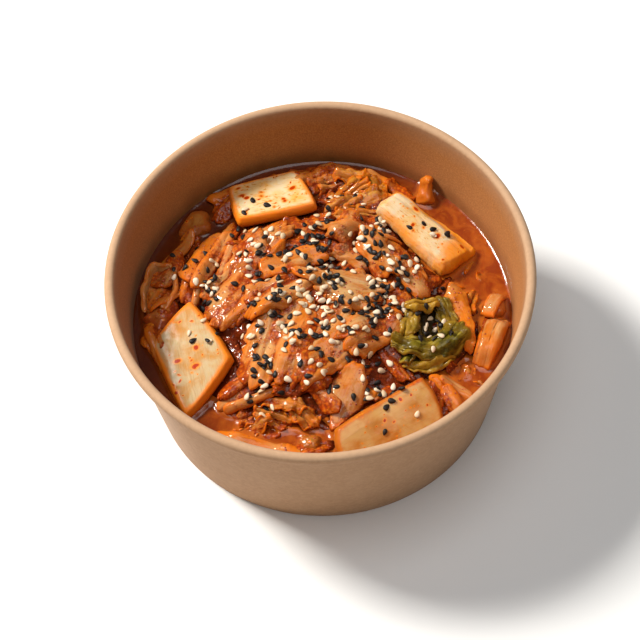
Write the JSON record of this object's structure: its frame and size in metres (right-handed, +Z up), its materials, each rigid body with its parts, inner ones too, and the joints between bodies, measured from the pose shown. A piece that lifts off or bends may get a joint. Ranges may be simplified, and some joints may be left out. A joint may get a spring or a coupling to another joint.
{
  "type": "bowl of kimchi",
  "caption": "Round kraft paper bowl filled with cabbage kimchi in red brine, with radish slices, thick stems, a rolled green leaf and sesame seeds on top.",
  "frame": {"origin": "centre of the foot ring, on the surface that the bowl stands on", "axes": "+Z up along the bowl's axis, -Y towards the person eating, so the thick stem that leans on the wall is at -Y and the back radish slice at +Y"},
  "size_m": [0.15, 0.15, 0.0636],
  "materials": {
    "kraft_paper": "matt uncoated brown kraft board with fine fibre mottle",
    "brine": "clear red-orange chili brine with a wet gloss",
    "cabbage_red": "wet cabbage covered in orange-red chili paste",
    "cabbage_stem": "wet translucent peach-coloured cabbage stem stained orange at its edges",
    "radish": "cream radish flesh with orange edges and chili specks, damp satin",
    "leaf_yellow": "wet frilled yellow-brown leaf with light veins",
    "leaf_green": "wet olive-green leaf with pale veins",
    "sesame_black": "dry black sesame seed, satin",
    "sesame_white": "dry ivory sesame seed, satin",
    "chili_flake": "wet coarse red chili flake"
  },
  "bodies": {
    "root": {"bowl": "kraft_paper", "brine": "brine", "cabbage_heap": "cabbage_red", "radish_back": "radish", "radish_left": "radish", "stem_right": "radish", "stem_front": "cabbage_stem", "stem_left": "cabbage_stem", "stem_centre_front": "cabbage_stem", "chunk_back_right": "leaf_yellow", "roll_left": "cabbage_stem", "chunk_left": "cabbage_red", "chip_back_left": "cabbage_stem", "stick_right": "cabbage_stem", "wedge_right": "cabbage_stem", "curl_right": "leaf_yellow", "strip_front_right": "leaf_yellow", "strip_front_left": "leaf_yellow", "chunk_front": "leaf_green", "leaf_back": "leaf_yellow", "leaf_front": "leaf_yellow", "leaf_left": "cabbage_red", "green_leaf": "leaf_green", "top_stem": "cabbage_stem", "top_stem_centre": "cabbage_stem", "top_leaf_back": "cabbage_red", "top_leaf_back_right": "cabbage_red", "top_leaf_right": "cabbage_red", "top_strip_right": "cabbage_stem", "top_lip": "cabbage_red", "top_leaf_front": "cabbage_stem", "top_leaf_left": "cabbage_red", "top_leaf_middle": "cabbage_red", "top_leaf_side": "cabbage_red", "top_leaf_low": "cabbage_red"}
  },
  "joints": []
}
